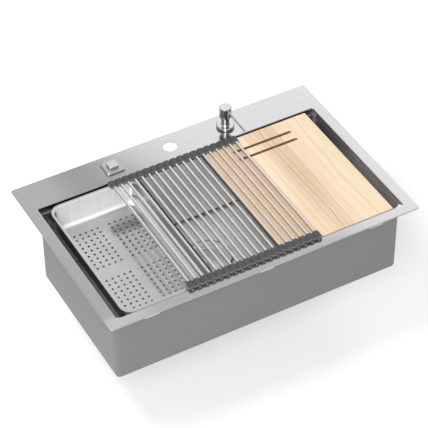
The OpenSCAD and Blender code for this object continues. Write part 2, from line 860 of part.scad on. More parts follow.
module dispenser_bottle() {
    r = bottle_d / 2;
    neck_r = shank_d / 2 + thread_gap;
    shoulder = shank_z - bottle_drop;
    color(plastic_white) at_dispenser() rotate_extrude() polygon([
        [0, bottle_z], [r - bottle_edge, bottle_z], [r, bottle_z + bottle_edge],
        [r, shoulder - bottle_shoulder], [neck_r + bottle_wall + bottle_edge, shoulder],
        [neck_r + bottle_wall, shoulder], [neck_r + bottle_wall, shank_z + bottle_neck_h],
        [neck_r, shank_z + bottle_neck_h], [neck_r, shoulder - bottle_wall],
        [r - bottle_wall, shoulder - bottle_shoulder - bottle_wall],
        [r - bottle_wall, bottle_z + bottle_edge + bottle_wall], [0, bottle_z + bottle_wall]
    ]);
}

// ---- Colander ----

module at_colander() translate([-colander_x, opening_y, 0]) children();

// The pan's inner form, grown by g: tapered walls that turn into the floor on a large radius.
// The flange is wider in front, where it bridges the wider step.
module pan_form(g) {
    r = colander_bottom_r;
    low_w = pan_w / 2 - colander_taper - pan_r;
    low_l = pan_l / 2 - colander_taper - pan_r;
    translate([0, pan_y, 0]) hull()
        for (x = [-1, 1], y = [-1, 1]) {
            translate([x * (pan_w / 2 - pan_r), y * (pan_l / 2 - pan_r), colander_top])
                cylinder(r = pan_r + g, h = 1, $fn = 32);
            translate([x * low_w, y * low_l, colander_floor_z + r])
                rotate_extrude($fn = 32) {
                    translate([pan_r - r, 0]) intersection() {
                        circle(r + g, $fn = 32);
                        translate([0, -r - g]) square([r + g, r + g]);
                    }
                    translate([0, -r - g]) square([pan_r - r, r + g]);
                }
        }
}

module colander_pan() {
    color(steel) at_colander() difference() {
        union() {
            difference() {
                pan_form(colander_sheet);
                translate([0, 0, colander_top + 0.5]) linear_extrude(10)
                    square([colander_w, colander_l] * 2, center = true);
            }
            translate([0, 0, colander_top - colander_sheet]) linear_extrude(colander_sheet)
                rounded_rect(colander_w, colander_l, colander_corner_r);
            translate([0, 0, colander_top - flange_h]) linear_extrude(flange_h) difference() {
                rounded_rect(colander_w, colander_l, colander_corner_r);
                rounded_rect(colander_w - 2 * colander_sheet, colander_l - 2 * colander_sheet,
                    colander_corner_r - colander_sheet);
            }
        }
        pan_form(0);
        translate([0, 0, colander_top]) {
            linear_extrude(10) square([colander_w, colander_l] * 2, center = true);
            translate([0, pan_y, 0]) edge_cut(pan_w, pan_l, pan_r, flange_edge_r);
            edge_cut(colander_w, colander_l, colander_corner_r, flange_edge_r, true);
        }
        // The flat of the floor is the perforated plate
        translate([0, pan_y, colander_floor_z - 5]) linear_extrude(10)
            rounded_rect(floor_plate_w, floor_plate_l, floor_plate_r);
    }
}

// Four fields of holes, with the cross between them left plain.
module colander_floor() {
    field_x = (field_columns + 1) / 2 * hole_pitch;
    field_y = (field_rows + 2) / 2 * hole_pitch;
    color(steel) at_colander() translate([0, 0, colander_floor_z - colander_sheet])
        difference() {
            translate([0, pan_y, 0]) linear_extrude(colander_sheet)
                rounded_rect(floor_plate_w, floor_plate_l, floor_plate_r);
            for (side_x = [-1, 1], side_y = [-1, 1], i = [0:field_columns - 1], j = [0:field_rows - 1])
                translate([
                    side_x * field_x + (i - (field_columns - 1) / 2) * hole_pitch,
                    side_y * field_y + (j - (field_rows - 1) / 2) * hole_pitch, -1
                ]) cylinder(d = hole_d, h = colander_sheet + 2, $fn = 24);
        }
}

// ---- Cutting board ----

module cutting_board() {
    color(wood) translate([board_x, board_y, board_z]) difference() {
        hull() {
            translate([0, 0, board_bevel]) linear_extrude(board_t - 2 * board_bevel)
                rounded_rect(board_w, board_l, board_corner_r);
            linear_extrude(board_t)
                rounded_rect(board_w - 2 * board_bevel, board_l - 2 * board_bevel,
                    board_corner_r - board_bevel + eps);
        }
        for (i = [0, 1])
            translate([0, board_l / 2 - slot_inset - i * slot_pitch, -1])
                linear_extrude(board_t + 2) rounded_rect(slot_l, slot_w, slot_w / 2 - eps);
    }
}

// ---- Drying rack ----

function rod_x(i) = -rack_x + (i - (rod_count - 1) / 2) * rod_pitch;

module rod(i) {
    translate([rod_x(i), rack_front + rod_inset, rod_z]) rotate([-90, 0, 0]) difference() {
        cylinder(d = rod_d, h = rack_l - 2 * rod_inset);
        translate([0, 0, -1]) cylinder(d = rod_d - 2 * rod_wall, h = rack_l);
    }
}

// One silicone grip, drawn for the front end with its foot towards -Y from y = 0.
module grip(drop) {
    half = grip_w / 2;
    crown = half - grip_slope;
    top = grip_h / 2;
    end = half - grip_chamfer;
    difference() {
        union() {
            intersection() {
                translate([0, grip_l, 0]) rotate([90, 0, 0]) linear_extrude(grip_l) polygon([
                    [grip_bevel - half, -top], [half - grip_bevel, -top], [half, grip_bevel - top],
                    [half, top - groove_depth], [crown, top], [-crown, top],
                    [-half, top - groove_depth], [-half, grip_bevel - top]
                ]);
                translate([0, 0, -grip_h]) linear_extrude(2 * grip_h) polygon([
                    [-half, 0], [half, 0], [half, grip_l - grip_chamfer], [end, grip_l],
                    [-end, grip_l], [-half, grip_l - grip_chamfer]
                ]);
            }
            translate([0, 0, -top - drop]) linear_extrude(foot_h + drop) union() {
                translate([0, -foot_l + foot_w / 2]) circle(d = foot_w);
                translate([-foot_w / 2, -foot_l + foot_w / 2])
                    square([foot_w, foot_l - foot_w / 2 + foot_root]);
            }
        }
        translate([0, rod_inset - run_gap, 0]) rotate([-90, 0, 0])
            cylinder(d = rod_d + 2 * run_gap, h = grip_l * 2);
    }
}

module front_grip(i) translate([rod_x(i), rack_front, rod_z]) grip(foot_drop);
module back_grip(i) translate([rod_x(i), rack_back, rod_z]) rotate(180) grip(0);

// The web that joins grip i to grip i + 1, short of the latter by gap, as high as the bottom
// of the groove between them. It starts at y.
module web(i, y, gap) {
    translate([rod_x(i) + grip_w / 2 - eps, y, rack_z])
        cube([grip_gap + 2 * eps - gap, grip_l - web_inset, grip_h - groove_depth]);
}

module front_web(i, gap) web(i, rack_front, gap);
module back_web(i, gap) web(i, rack_back - grip_l + web_inset, gap);

module rack_rods() {
    color(chrome) for (i = [rolled_rods:rod_count - 1]) rod(i);
}

module rack_front_grips() {
    color(silicone_grey) union() {
        for (i = [rolled_rods:rod_count - 1]) front_grip(i);
        for (i = [rolled_rods:rod_count - 2]) front_web(i, 0);
    }
}

module rack_back_grips() {
    color(silicone_grey) union() {
        for (i = [rolled_rods:rod_count - 1]) back_grip(i);
        for (i = [rolled_rods:rod_count - 2]) back_web(i, 0);
    }
}

// Link i is one rod of the end that rolls up, its two grips and their webs.
module link_rod(i) color(chrome) rod(i);
module link_grips(i) {
    color(silicone_grey) {
        front_grip(i);
        front_web(i, link_gap);
        back_grip(i);
        back_web(i, link_gap);
    }
}

deck_rim();
bowl();
rim_seal();
clip_brackets();
clip_hooks();
clip_screws();
drain_flange_seal();
drain_body();
drain_washer();
drain_friction_ring();
drain_locknut();
tail_washer();
tailpiece();
slip_nut();
strainer_basket();
basket_seal();
basket_knob();
lift_pin();
control_plate();
control_knob();
control_spindle();
control_sleeve();
control_washer();
control_nut();
control_housing();
cable_glands();
dispenser_base();
dispenser_shank();
dispenser_washer();
dispenser_nut();
pump_cylinder();
pump_plunger();
pump_spring();
dip_tube();
pump_head();
dispenser_bottle();
colander_pan();
colander_floor();
cutting_board();
rack_rods();
rack_front_grips();
rack_back_grips();
link_rod(0);  // rack_rod_1
link_rod(1);  // rack_rod_2
link_rod(2);  // rack_rod_3
link_rod(3);  // rack_rod_4
link_grips(0);  // rack_grips_1
link_grips(1);  // rack_grips_2
link_grips(2);  // rack_grips_3
link_grips(3);  // rack_grips_4
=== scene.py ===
"""Workstation kitchen sink: materials, edges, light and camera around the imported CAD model."""

import json
import math

import bpy
from mathutils import Matrix, Vector


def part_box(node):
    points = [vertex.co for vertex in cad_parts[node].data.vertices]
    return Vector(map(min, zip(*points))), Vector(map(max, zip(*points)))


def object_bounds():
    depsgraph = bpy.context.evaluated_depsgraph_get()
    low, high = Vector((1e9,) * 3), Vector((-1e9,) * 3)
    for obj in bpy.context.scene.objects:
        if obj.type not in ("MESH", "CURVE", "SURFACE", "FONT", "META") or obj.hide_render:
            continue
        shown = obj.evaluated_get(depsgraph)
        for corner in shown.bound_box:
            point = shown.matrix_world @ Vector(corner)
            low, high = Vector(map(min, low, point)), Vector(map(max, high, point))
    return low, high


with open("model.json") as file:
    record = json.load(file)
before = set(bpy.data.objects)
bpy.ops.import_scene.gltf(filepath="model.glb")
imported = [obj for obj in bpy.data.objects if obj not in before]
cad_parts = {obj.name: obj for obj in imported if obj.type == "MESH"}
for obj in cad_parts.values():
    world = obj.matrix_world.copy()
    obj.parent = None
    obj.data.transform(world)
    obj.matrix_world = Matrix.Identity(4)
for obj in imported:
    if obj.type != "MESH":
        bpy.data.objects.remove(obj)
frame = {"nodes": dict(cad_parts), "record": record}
cad_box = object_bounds()

# ---- Camera: the photograph's view ----

LENS_PLACE = Vector((-1.5829, -2.8777, 2.9959))
AZIMUTH = -28.814
ELEVATION = 42.789
ROLL = -0.507
FOCAL_PIXELS = 1909.8
IMAGE_PIXELS = 428


def add_camera():
    azimuth, elevation, roll = map(math.radians, (AZIMUTH, ELEVATION, ROLL))
    back = Vector(
        (
            math.sin(azimuth) * math.cos(elevation),
            -math.cos(azimuth) * math.cos(elevation),
            math.sin(elevation),
        )
    )
    right = Vector((math.cos(azimuth), math.sin(azimuth), 0))
    basis = Matrix((right, back.cross(right), back)).transposed()
    data = bpy.data.cameras.new("camera")
    data.lens = data.sensor_width * FOCAL_PIXELS / IMAGE_PIXELS
    camera = bpy.data.objects.new("camera", data)
    bpy.context.collection.objects.link(camera)
    turn = (basis @ Matrix.Rotation(roll, 3, "Z")).to_4x4()
    camera.matrix_world = Matrix.Translation(LENS_PLACE) @ turn
    bpy.context.scene.camera = camera


# ---- Node helpers ----


def new_tree(name):
    """A material and its node tree, with the shader that Blender gives it."""
    material = bpy.data.materials.new(name)
    material.use_nodes = True
    return material, material.node_tree


def node_of(tree, kind):
    """The tree's first node of a kind."""
    return next(n for n in tree.nodes if n.type == kind)


def shader_of(tree):
    return node_of(tree, "BSDF_PRINCIPLED")


def set_inputs(tree, node, inputs):
    """Fills a node's inputs. A value is a number, a colour, or another node's output."""
    for key, value in inputs.items():
        if isinstance(value, bpy.types.NodeSocket):
            tree.links.new(value, node.inputs[key])
        else:
            node.inputs[key].default_value = value


def feed_of(node, key):
    """The output that already feeds a node's input."""
    return node.inputs[key].links[0].from_socket


def add(tree, kind, inputs=None, **settings):
    """Adds a shader node."""
    node = tree.nodes.new("ShaderNode" + kind)
    for key, value in settings.items():
        setattr(node, key, value)
    set_inputs(tree, node, inputs or {})
    return node


def coords_of(tree):
    """The place on the object, in metres."""
    return add(tree, "TexCoord").outputs["Object"]


def normal_of(tree):
    return add(tree, "NewGeometry").outputs["Normal"]


def xyz(tree, vector):
    return add(tree, "SeparateXYZ", {0: vector}).outputs


def math_node(tree, operation, *values):
    return add(tree, "Math", dict(enumerate(values)), operation=operation).outputs[0]


def product(tree, first, second):
    return math_node(tree, "MULTIPLY", first, second)


def inverse(tree, share):
    """What is left of 1."""
    return math_node(tree, "SUBTRACT", 1.0, share)


def more_than(tree, value, limit):
    """1 where value is more than limit, and 0 elsewhere."""
    return math_node(tree, "GREATER_THAN", value, limit)


def less_than(tree, value, limit):
    """1 where value is less than limit, and 0 elsewhere."""
    return math_node(tree, "LESS_THAN", value, limit)


def vector_node(tree, operation, *values):
    """Vector maths whose result is a vector."""
    return add(tree, "VectorMath", dict(enumerate(values)), operation=operation).outputs["Vector"]


def measure(tree, operation, *values):
    """Vector maths whose result is a number."""
    return add(tree, "VectorMath", dict(enumerate(values)), operation=operation).outputs["Value"]


def between(tree, factor, low, high, start=0.0, end=1.0):
    """A number from low to high as factor goes from start to end."""
    limits = {"From Min": start, "From Max": end, "To Min": low, "To Max": high}
    return add(tree, "MapRange", {"Value": factor, **limits}).outputs["Result"]


def rising(tree, factor, start, end):
    """A number that is 0 until factor reaches start, and 1 from end on."""
    return between(tree, factor, 0, 1, start, end)


def falling(tree, factor, start, end):
    """A number that is 1 until factor reaches start, and 0 from end on."""
    return between(tree, factor, 1, 0, start, end)


def varied(tree, factor, value, low, high):
    """value times a number from low to high as factor goes from 0 to 1."""
    return between(tree, factor, value * low, value * high)


def mixed(tree, factor, first, second, blend="MIX"):
    """Two colours mixed by factor. The node's colour sockets are 6 and 7, and its output is 2."""
    inputs = {0: factor, 6: first, 7: second}
    return add(tree, "Mix", inputs, data_type="RGBA", blend_type=blend).outputs[2]


def multiplied(tree, first, second):
    """Two colours multiplied."""
    return mixed(tree, 1.0, first, second, "MULTIPLY")


def shade_ramp(tree, factor, steps):
    """Colours along factor. steps are two or more places with their colour, in order."""
    node = add(tree, "ValToRGB", {0: factor})
    elements = node.color_ramp.elements
    for place, _ in steps[2:]:
        elements.new(place)
    for element, (place, colour) in zip(elements, steps):
        element.position = place
        element.color = colour
    return node.outputs["Color"]


def grain(tree, coords, size, detail, roughness=0.5):
    """Noise whose spots measure size along X, Y and Z, in metres."""
    place = add(tree, "Mapping", {"Vector": coords, "Scale": [1 / s for s in size]}).outputs[0]
    inputs = {"Vector": place, "Scale": 1.0, "Detail": detail, "Roughness": roughness}
    return add(tree, "TexNoise", inputs).outputs["Fac"]


def bump(tree, shader, height, distance):
    relief = add(tree, "Bump", {"Height": height, "Distance": distance, "Strength": 1.0})
    set_inputs(tree, shader, {"Normal": relief.outputs[0]})


def rgb(value, *more):
    """A colour with alpha, from one grey level or three levels."""
    return (value, *(more or (value, value)), 1.0)


def middle_of(low, high):
    """The middle of a box."""
    return [(a + b) / 2 for a, b in zip(low, high)]


# ---- Materials: steel and chrome ----
#
# In all materials a grain's size is along X, Y and Z, and a depth is a bump's height, both in
# metres. A pair of colours is a grain's dark and light end. A pair named LEVELS, FADE or TURN is
# the start and the end of a change: in a grain's own value, in metres, or in the normal's Z,
# which is 0 on an upright face and 1 on a level one. A pair named SPREAD holds two factors.

BRUSHING = (0.03, 0.0007, 0.0007)
BRUSHING_DEPTH = 2e-6
BRUSHING_SPREAD = (0.8, 1.2)
BRACKET_GRAIN = (0.004, 0.004, 0.004)
UP_STREAKS = (0.006, 0.2, 0.2)
# A face looks up where its normal has more Z than this
FACES_UP = 0.5


def brushed_steel(
    name, level, roughness, line, cloud=0.25, contrast=0.12, depth=BRUSHING_DEPTH, metallic=1.0
):
    """Steel with brush lines of the size line, and broad clouds."""
    material, tree = new_tree(name)
    shader = shader_of(tree)
    coords = coords_of(tree)
    lines = grain(tree, coords, line, detail=3)
    clouds = grain(tree, coords, (cloud, cloud, cloud), detail=1)
    shade = math_node(tree, "ADD", between(tree, lines, -1, 1), between(tree, clouds, -1, 1))
    dark, light = (rgb(level * (1 + s * contrast)) for s in (-1, 1))
    inputs = {
        "Base Color": mixed(tree, rising(tree, shade, -1, 1), dark, light),
        "Metallic": metallic,
        "Roughness": varied(tree, lines, roughness, *BRUSHING_SPREAD),
    }
    set_inputs(tree, shader, inputs)
    bump(tree, shader, lines, depth)
    return material


WITHOUT_Z = (1, 1, 0)
# The normal's Z counts this much, so that level faces are outside where they look down
LEVEL_SHARE = -0.05


def facing_out(tree, coords, normal):
    """1 on what faces away from the middle of coords, or down."""
    away = vector_node(tree, "MULTIPLY", coords, WITHOUT_Z)
    outward = measure(tree, "DOT_PRODUCT", away, normal)
    tilt = math_node(tree, "MULTIPLY_ADD", xyz(tree, normal)["Z"], LEVEL_SHARE, outward)
    return more_than(tree, tilt, 0.0)


def two_sided(tree, side, outside):
    """Joins a second shader to the first where side is 1."""
    mix = add(tree, "MixShader", {0: side, 1: shader_of(tree).outputs[0], 2: outside.outputs[0]})
    set_inputs(tree, node_of(tree, "OUTPUT_MATERIAL"), {"Surface": mix.outputs[0]})


BOWL_BRUSHING = (0.03, 0.03, 0.0012)
BOWL_BRUSHING_DEPTH = 1e-6
# The bowl is scratched near the drain. Its scratches fade with the distance from there.
SCRATCH_FADE = (0.24, 0.37)
SCRATCH_ROUGHNESS = 0.15
CLEAN_METALLIC = 0.95
SCRATCHED_METALLIC = 0.1
# The scratched steel's shade from upright to level: a bend has a painted dark line above and a
# painted highlight below
BEND_PAINTED_SHADE_AND_HIGHLIGHT = (
    (0.0, rgb(0.95)),
    (0.08, rgb(0.90)),
    (0.13, rgb(0.06)),
    (0.46, rgb(0.06)),
    (0.54, rgb(1.0)),
    (0.92, rgb(1.0)),
    (0.99, rgb(0.90)),
)
# The painted highlight on a bend shines like clean steel, between these two
HIGHLIGHT_START_TURN = (0.50, 0.56)
HIGHLIGHT_END_TURN = (0.88, 0.95)
# Painted shade and light on the clean steel: its colour at the bowl's front and back, and how it
# changes along Y
CLEAN_FRONT_PAINTED_LIGHT = rgb(0.95)
CLEAN_BACK_PAINTED_SHADE = rgb(0.50)
PAINTED_SHADE_FADE = (-0.23, 0.15)
# The back wall's collar stands above the step and looks to the front, in the rim's shade. A face
# looks to the front where its normal has less Y than the last value.
COLLAR_HEIGHT = 0.013
COLLAR_SHADE = rgb(0.05)
FACES_FRONT = -0.5
COATING = (rgb(0.20, 0.202, 0.204), rgb(0.23, 0.232, 0.234))
COATING_GRAIN = (0.0015, 0.0015, 0.0015)
COATING_DEPTH = 1e-5


def coating_of(tree, coords):
    """A shader for the bowl's grey sound-deadening coating."""
    mottle = grain(tree, coords, COATING_GRAIN, detail=3)
    inputs = {"Base Color": mixed(tree, mottle, *COATING), "Roughness": 0.5, "Metallic": 0.3}
    shader = add(tree, "BsdfPrincipled", inputs)
    bump(tree, shader, mottle, COATING_DEPTH)
    return shader


def bowl_steel():
    """Satin steel inside, with painted shade and painted highlights, and the same sheet with its
    grey coating outside.
    """
    material = brushed_steel(
        "bowl_steel",
        level=0.96,
        roughness=0.28,
        line=BOWL_BRUSHING,
        contrast=0.05,
        depth=BOWL_BRUSHING_DEPTH,
    )
    tree = material.node_tree
    inside = shader_of(tree)
    coords = coords_of(tree)
    place = xyz(tree, coords)
    normal = normal_of(tree)
    facing = xyz(tree, normal)
    low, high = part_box("drain_flange_seal")
    distance = measure(tree, "DISTANCE", coords, middle_of(low, high))
    scratched = falling(tree, distance, *SCRATCH_FADE)
    highlight_starts = rising(tree, facing["Z"], *HIGHLIGHT_START_TURN)
    painted_highlight = product(tree, highlight_starts, falling(tree, facing["Z"], *HIGHLIGHT_END_TURN))
    dull = product(tree, inverse(tree, painted_highlight), scratched)

    brushed = feed_of(inside, "Base Color")
    # Painted shade: the clean steel darkens from the front to the back
    at_front = falling(tree, place["Y"], *PAINTED_SHADE_FADE)
    clean_with_painted_shade = multiplied(tree, brushed, mixed(tree, at_front, CLEAN_BACK_PAINTED_SHADE, CLEAN_FRONT_PAINTED_LIGHT))
    # Painted shade and painted highlight on the bends, where the steel is scratched
    worn_with_painted_bends = multiplied(tree, brushed, shade_ramp(tree, facing["Z"], BEND_PAINTED_SHADE_AND_HIGHLIGHT))
    above_step = more_than(tree, place["Z"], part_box("bowl")[1][2] - COLLAR_HEIGHT)
    collar = product(tree, above_step, less_than(tree, facing["Y"], FACES_FRONT))
    inputs = {
        "Base Color": mixed(tree, collar, mixed(tree, scratched, clean_with_painted_shade, worn_with_painted_bends), COLLAR_SHADE),
        "Metallic": between(tree, dull, CLEAN_METALLIC, SCRATCHED_METALLIC),
        "Roughness": math_node(
            tree, "MULTIPLY_ADD", dull, SCRATCH_ROUGHNESS, feed_of(inside, "Roughness")
        ),
    }
    set_inputs(tree, inside, inputs)
    two_sided(tree, facing_out(tree, coords, normal), coating_of(tree, coords))
    return material


# The colander's right and left walls have more X in their normal than this
FACES_SIDE = 0.6
# Painted reflections along these walls, as dark and light bands from the foot, at 0, to the top,
# at 1, with finer streaks over them
PAINTED_WALL_REFLECTIONS = (
    (0.00, rgb(0.80)),
    (0.26, rgb(0.86)),
    (0.31, rgb(0.30, 0.29, 0.28)),
    (0.38, rgb(0.34, 0.33, 0.32)),
    (0.43, rgb(0.84, 0.82, 0.81)),
    (0.60, rgb(0.74, 0.71, 0.70)),
    (0.64, rgb(0.27, 0.24, 0.23)),
    (0.86, rgb(0.24, 0.21, 0.20)),
    (0.91, rgb(0.72, 0.70, 0.69)),
)
LONG_STREAKS = (0.2, 0.3, 0.0016)
LONG_STREAK_LEVELS = (0.35, 0.65)
LONG_STREAK_SHADES = (rgb(0.78), rgb(1.0))
UP_STREAK_LEVELS = (0.3, 0.7)
UP_STREAK_SHADES = (rgb(0.88), rgb(0.98))
# Level faces are painted darker than the walls: painted shade
LEVEL_PAINTED_SHADE = (rgb(0.36), rgb(0.42))
LEVEL_TURN = (0.75, 0.97)
WALL_METALLIC = 0.35
LEVEL_METALLIC = 0.6
# The right flange's top is near black along a strip of this width
STRIP_WIDTH = 0.0125
STRIP_SHADE = rgb(0.015)


def colander_steel():
    """The colander's sheet: walls with painted reflections, level faces in painted shade, and
    painted shade outside.
    """
    material, tree = new_tree("insert_steel")
    coords = coords_of(tree)
    place = xyz(tree, coords)
    normal = normal_of(tree)
    facing = xyz(tree, normal)
    low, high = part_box("colander_pan")
    up_streaks = grain(tree, coords, UP_STREAKS, detail=3)
    long_streaks = grain(tree, coords, LONG_STREAKS, detail=3)
    end_wall = mixed(tree, rising(tree, up_streaks, *UP_STREAK_LEVELS), *UP_STREAK_SHADES)
    # Painted reflections on the side walls
    painted_reflections = shade_ramp(tree, rising(tree, place["Z"], low[2], high[2]), PAINTED_WALL_REFLECTIONS)
    fine = mixed(tree, rising(tree, long_streaks, *LONG_STREAK_LEVELS), *LONG_STREAK_SHADES)
    at_side = more_than(tree, math_node(tree, "ABSOLUTE", facing["X"]), FACES_SIDE)
    wall = mixed(tree, at_side, end_wall, multiplied(tree, painted_reflections, fine))
    # Painted shade on the level faces
    level = rising(tree, facing["Z"], *LEVEL_TURN)
    shade = mixed(tree, level, wall, mixed(tree, up_streaks, *LEVEL_PAINTED_SHADE))

    at_right = more_than(tree, place["X"], high[0] - STRIP_WIDTH)
    strip = product(tree, at_right, more_than(tree, facing["Z"], FACES_UP))
    metallic = between(tree, level, WALL_METALLIC, LEVEL_METALLIC)
    inputs = {
        "Base Color": mixed(tree, strip, shade, STRIP_SHADE),
        "Metallic": product(tree, metallic, inverse(tree, strip)),
        "Roughness": between(tree, up_streaks, 0.2, 0.3),
    }
    set_inputs(tree, shader_of(tree), inputs)

    # Painted shade on the pan's outside: it is near black
    inputs = {"Base Color": rgb(0.10), "Roughness": 0.4, "Metallic": 0.8}
    outside = add(tree, "BsdfPrincipled", inputs)
    own_coords = vector_node(tree, "SUBTRACT", coords, middle_of(low, high))
    two_sided(tree, facing_out(tree, own_coords, normal), outside)
    return material


DECK_BRUSHING = (0.08, 0.0007, 0.0007)
# Painted light on the front rim's left half: it is lighter by this factor, which fades along X and
# Y
RIM_PAINTED_LIGHT = rgb(1.35)
RIM_FADE_X = (0.05, 0.2)
RIM_FADE_Y = (-0.235, -0.215)


def deck_steel():
    """The top plate's steel, with painted light along the front rim's left half."""
    material = brushed_steel(
        "deck_steel", level=0.31, roughness=0.14, line=DECK_BRUSHING, cloud=0.4
    )
    tree = material.node_tree
    shader = shader_of(tree)
    place = xyz(tree, coords_of(tree))
    at_front = falling(tree, place["Y"], *RIM_FADE_Y)
    at_left = falling(tree, place["X"], *RIM_FADE_X)
    # Painted light on the front rim's left half
    painted_light = mixed(tree, product(tree, at_front, at_left), rgb(1.0), RIM_PAINTED_LIGHT)
    colour = multiplied(tree, feed_of(shader, "Base Color"), painted_light)
    set_inputs(tree, shader, {"Base Color": colour})
    return material


PIERCED_PATCHES = (0.05, 0.08, 0.05)
PIERCED_SHADES = (rgb(0.40), rgb(0.50))
# Painted shade on every face that does not look up: the holes' walls and the floor's underside
HOLE_PAINTED_SHADE = rgb(0.03)


def pierced_steel():
    """The colander's floor: satin and light, with painted shade inside its holes."""
    material, tree = new_tree("pierced_steel")
    coords = coords_of(tree)
    streaks = grain(tree, coords, UP_STREAKS, detail=3)
    patches = grain(tree, coords, PIERCED_PATCHES, detail=2)
    satin = mixed(tree, patches, *PIERCED_SHADES)
    upward = more_than(tree, xyz(tree, normal_of(tree))["Z"], FACES_UP)
    inputs = {
        "Base Color": mixed(tree, upward, HOLE_PAINTED_SHADE, satin),
        "Metallic": 0.7,
        "Roughness": between(tree, streaks, 0.13, 0.18),
    }
    set_inputs(tree, shader_of(tree), inputs)
    return material


FLANGE_LINE_WIDTH = 0.0035
FLANGE_LINE_SHADE = rgb(0.05)


def drain_steel():
    """Light satin steel, with a dark line where the drain's flange ends on the bowl's floor."""
    material = brushed_steel(
        "drain_steel", level=0.9, roughness=0.24, line=BRUSHING, metallic=0.15
    )
    tree = material.node_tree
    shader = shader_of(tree)
    low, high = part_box("drain_body")
    own_coords = vector_node(tree, "SUBTRACT", coords_of(tree), middle_of(low, high))
    radius = measure(tree, "LENGTH", vector_node(tree, "MULTIPLY", own_coords, WITHOUT_Z))
    line = more_than(tree, radius, (high[0] - low[0]) / 2 - FLANGE_LINE_WIDTH)
    colour = mixed(tree, line, feed_of(shader, "Base Color"), FLANGE_LINE_SHADE)
    set_inputs(tree, shader, {"Base Color": colour})
    return material


# Painted reflections: dark and bright streaks that stand upright on the dispenser's sides
CHROME_REFLECTION_STREAKS = (0.0045, 0.0045, 0.3)
CHROME_REFLECTION_LEVELS = (0.42, 0.58)
CHROME_PAINTED_REFLECTIONS = (rgb(0.17), rgb(0.46))
CHROME_RINGS = (0.02, 0.02, 0.0025)
CHROME_TOP_SHADES = (rgb(0.30), rgb(0.36))
CHROME_FACES_UP = 0.8


def chrome_with_painted_reflections():
    """Chrome of the dispenser, with painted reflections: dark and bright streaks stand upright on
    it.
    """
    material, tree = new_tree("dispenser_chrome")
    coords = coords_of(tree)
    streaks = grain(tree, coords, CHROME_REFLECTION_STREAKS, detail=2)
    rings = grain(tree, coords, CHROME_RINGS, detail=2)
    # Painted reflections on the sides
    side = mixed(tree, rising(tree, streaks, *CHROME_REFLECTION_LEVELS), *CHROME_PAINTED_REFLECTIONS)
    top = mixed(tree, rings, *CHROME_TOP_SHADES)
    upward = more_than(tree, xyz(tree, normal_of(tree))["Z"], CHROME_FACES_UP)
    inputs = {
        "Base Color": mixed(tree, upward, side, top),
        "Metallic": 1.0,
        "Roughness": between(tree, rings, 0.16, 0.24),
    }
    set_inputs(tree, shader_of(tree), inputs)
    return material


SMEARS = (0.02, 0.02, 0.02)
SMEAR_SHADE = 0.94
SMEAR_SPREAD = (0.7, 1.3)


def polished(name, level, roughness):
    """Bright metal with faint smears."""
    material, tree = new_tree(name)
    smears = grain(tree, coords_of(tree), SMEARS, detail=3)
    inputs = {
        "Base Color": mixed(tree, smears, rgb(level * SMEAR_SHADE), rgb(level)),
        "Metallic": 1.0,
        "Roughness": varied(tree, smears, roughness, *SMEAR_SPREAD),
    }
    set_inputs(tree, shader_of(tree), inputs)
    return material


# ---- Materials: plastic, rubber and wood ----

MOULD_GRAIN = (0.0006, 0.0006, 0.0006)
MOULD_DEPTH = 2e-5
MOULD_SPREAD = (0.85, 1.1)
MOULD_PATCHES = (0.03, 0.03, 0.03)
PATCH_SPREAD = (0.85, 1.12)
# Upright faces get painted light, which fades out between these turns
SIDE_LIGHT_TURN = (0.1, 0.6)


def moulded(name, colour, roughness, painted_side_light=1.0):
    """Plastic or rubber with a fine grain. Upright faces are paler by the given factor: painted
    light.
    """
    material, tree = new_tree(name)
    shader = shader_of(tree)
    coords = coords_of(tree)
    fine = grain(tree, coords, MOULD_GRAIN, detail=2)
    patches = grain(tree, coords, MOULD_PATCHES, detail=2)
    dark, light = (rgb(*(min(c * factor, 1) for c in colour)) for factor in PATCH_SPREAD)
    body = mixed(tree, patches, dark, light)
    # Painted light on upright faces
    if painted_side_light != 1.0:
        upright = falling(tree, xyz(tree, normal_of(tree))["Z"], *SIDE_LIGHT_TURN)
        body = mixed(tree, upright, body, rgb(*(c * painted_side_light for c in colour)))
    inputs = {
        "Base Color": body,
        "Roughness": varied(tree, fine, roughness, *MOULD_SPREAD),
    }
    set_inputs(tree, shader, inputs)
    bump(tree, shader, fine, MOULD_DEPTH)
    return material


PALE_WOOD = rgb(0.85, 0.67, 0.48)
MID_WOOD = rgb(0.72, 0.54, 0.37)
DEEP_WOOD = rgb(0.42, 0.27, 0.15)
# The board's staves. Each is cut this far along X from the one before, and 1 along Y and Z.
STAVE_WIDTH = 0.098
STAVE_SHIFT = 0.37
# The first stave, under the rack, takes a darker, redder colour: painted shadow of the rods
RACK_PAINTED_SHADOW = rgb(0.62, 0.38, 0.20)
RACK_PAINTED_SHADOW_SHARE = 0.5
# Broad shades, growth rings that wander, and pores. A strength is the deep colour's largest share.
BROAD_SHADES = (0.09, 0.5, 0.09)
BROAD_LEVELS = (0.35, 0.65)
WARP = (0.06, 0.25, 0.06)
RING_WANDER = 0.03
RINGS = (0.008, 1, 1)
RING_LEVELS = (0.5, 0.75)
RING_STRENGTH = 0.4
PORES = (0.0012, 0.05, 0.0012)
PORE_LEVELS = (0.45, 0.8)
PORE_STRENGTH = 0.25
PORE_DEPTH = 3e-5
# A band of fine brown lines: its middle, from the board's left face, and its fade from there
FIGURE_MIDDLE = 0.165
FIGURE_FADE = (0.018, 0.034)
FIGURE_LINES = (0.0036, 1, 1)
FIGURE_LEVELS = (0.44, 0.62)
FIGURE_STRENGTH = 0.9
# The edges and the slots show end grain. The left face is darker still: painted shade.
END_GRAIN = rgb(0.36, 0.22, 0.11)
LEFT_FACE_PAINTED_SHADE = rgb(0.12, 0.075, 0.042)
LEFT_FACE_WIDTH = 0.003
END_TURN = (0.3, 0.8)


